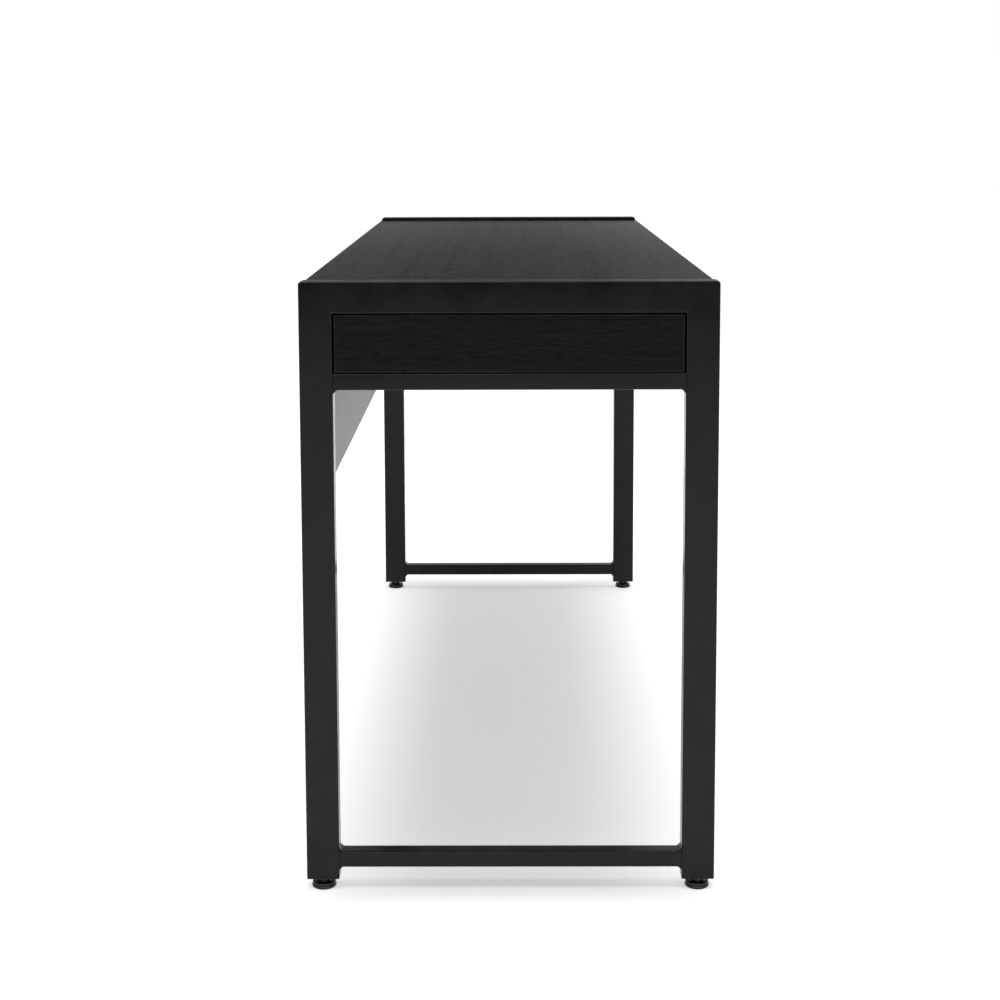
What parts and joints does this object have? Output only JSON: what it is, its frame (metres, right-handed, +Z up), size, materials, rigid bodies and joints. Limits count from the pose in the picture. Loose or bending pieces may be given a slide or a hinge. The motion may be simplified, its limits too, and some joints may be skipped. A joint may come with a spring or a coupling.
{
  "type": "writing desk",
  "caption": "Long black writing desk: dark oak top let in between welded steel end frames, flush handle-less drawers in the ends, modesty panel and levelling glides.",
  "frame": {"origin": "on the floor, under the middle of the desk", "axes": "+X along the desk towards the right-hand end, -Y towards the seated user, +Z up"},
  "size_m": [1.405, 0.5, 0.75],
  "materials": {
    "black_paint": "fine matt powder coat",
    "black_oak": "black-stained oak veneer, satin lacquer",
    "black_lacquer": "black lacquered board, satin",
    "birch": "clear matt lacquer",
    "zinc_steel": "bright zinc plate",
    "black_nylon": "moulded",
    "grey_plastic": "moulded"
  },
  "bodies": {
    "frame": {"left_top_rail": "black_paint", "left_drawer_rail": "black_paint", "left_foot_rail": "black_paint", "left_front_leg": "black_paint", "left_front_leg_insert": "black_nylon", "left_back_leg": "black_paint", "left_back_leg_insert": "black_nylon", "right_top_rail": "black_paint", "right_drawer_rail": "black_paint", "right_foot_rail": "black_paint", "right_front_leg": "black_paint", "right_front_leg_insert": "black_nylon", "right_back_leg": "black_paint", "right_back_leg_insert": "black_nylon", "front_lower_rail": "black_paint", "front_upper_rail": "black_paint", "front_apron": "black_oak", "front_guide_board": "birch", "back_lower_rail": "black_paint", "back_upper_rail": "black_paint", "back_apron": "black_oak", "back_guide_board": "birch", "tabletop": "black_oak", "modesty_panel": "black_lacquer", "base_sheet": "black_lacquer", "left_joining_plate": "zinc_steel", "left_cross_rail": "birch", "left_latch_body": "grey_plastic", "left_front_runner_cabinet_member": "zinc_steel", "left_back_runner_cabinet_member": "zinc_steel", "right_joining_plate": "zinc_steel", "right_cross_rail": "birch", "right_latch_body": "grey_plastic", "right_front_runner_cabinet_member": "zinc_steel", "right_back_runner_cabinet_member": "zinc_steel"},
    "left_drawer": {"left_drawer_front": "black_oak", "left_drawer_back": "birch", "left_drawer_bottom": "birch", "left_drawer_front_side": "birch", "left_front_runner_drawer_member": "zinc_steel", "left_drawer_back_side": "birch", "left_back_runner_drawer_member": "zinc_steel"},
    "left_runner_middles": {"left_front_runner_middle_member": "zinc_steel", "left_back_runner_middle_member": "zinc_steel"},
    "left_plunger": {"left_latch_plunger": "grey_plastic"},
    "left_front_glide": {"left_front_glide": "black_nylon"},
    "left_back_glide": {"left_back_glide": "black_nylon"},
    "right_drawer": {"right_drawer_front": "black_oak", "right_drawer_back": "birch", "right_drawer_bottom": "birch", "right_drawer_front_side": "birch", "right_front_runner_drawer_member": "zinc_steel", "right_drawer_back_side": "birch", "right_back_runner_drawer_member": "zinc_steel"},
    "right_runner_middles": {"right_front_runner_middle_member": "zinc_steel", "right_back_runner_middle_member": "zinc_steel"},
    "right_plunger": {"right_latch_plunger": "grey_plastic"},
    "right_front_glide": {"right_front_glide": "black_nylon"},
    "right_back_glide": {"right_back_glide": "black_nylon"}
  },
  "joints": [
    {"name": "left_drawer_slide", "type": "slide", "parent": "frame", "child": "left_drawer", "axis": [-1, 0, 0], "range_m": [0, 0.38]},
    {"name": "left_runner_slide", "type": "slide", "parent": "frame", "child": "left_runner_middles", "axis": [-1, 0, 0], "range_m": [0, 0.19]},
    {"name": "left_plunger_slide", "type": "slide", "parent": "frame", "child": "left_plunger", "axis": [-1, 0, 0], "range_m": [0, 0.019]},
    {"name": "left_front_glide_height", "type": "slide", "parent": "frame", "child": "left_front_glide", "axis": [0, 0, -1], "range_m": [0, 0.01]},
    {"name": "left_back_glide_height", "type": "slide", "parent": "frame", "child": "left_back_glide", "axis": [0, 0, -1], "range_m": [0, 0.01]},
    {"name": "right_drawer_slide", "type": "slide", "parent": "frame", "child": "right_drawer", "axis": [1, 0, 0], "range_m": [0, 0.38]},
    {"name": "right_runner_slide", "type": "slide", "parent": "frame", "child": "right_runner_middles", "axis": [1, 0, 0], "range_m": [0, 0.19]},
    {"name": "right_plunger_slide", "type": "slide", "parent": "frame", "child": "right_plunger", "axis": [1, 0, 0], "range_m": [0, 0.019]},
    {"name": "right_front_glide_height", "type": "slide", "parent": "frame", "child": "right_front_glide", "axis": [0, 0, -1], "range_m": [0, 0.01]},
    {"name": "right_back_glide_height", "type": "slide", "parent": "frame", "child": "right_back_glide", "axis": [0, 0, -1], "range_m": [0, 0.01]}
  ],
  "couplings": [
    {"joint": "left_runner_slide", "follows": "left_drawer_slide", "ratio": 0.5},
    {"joint": "left_plunger_slide", "follows": "left_drawer_slide", "ratio": 0.05},
    {"joint": "right_runner_slide", "follows": "right_drawer_slide", "ratio": 0.5},
    {"joint": "right_plunger_slide", "follows": "right_drawer_slide", "ratio": 0.05}
  ]
}
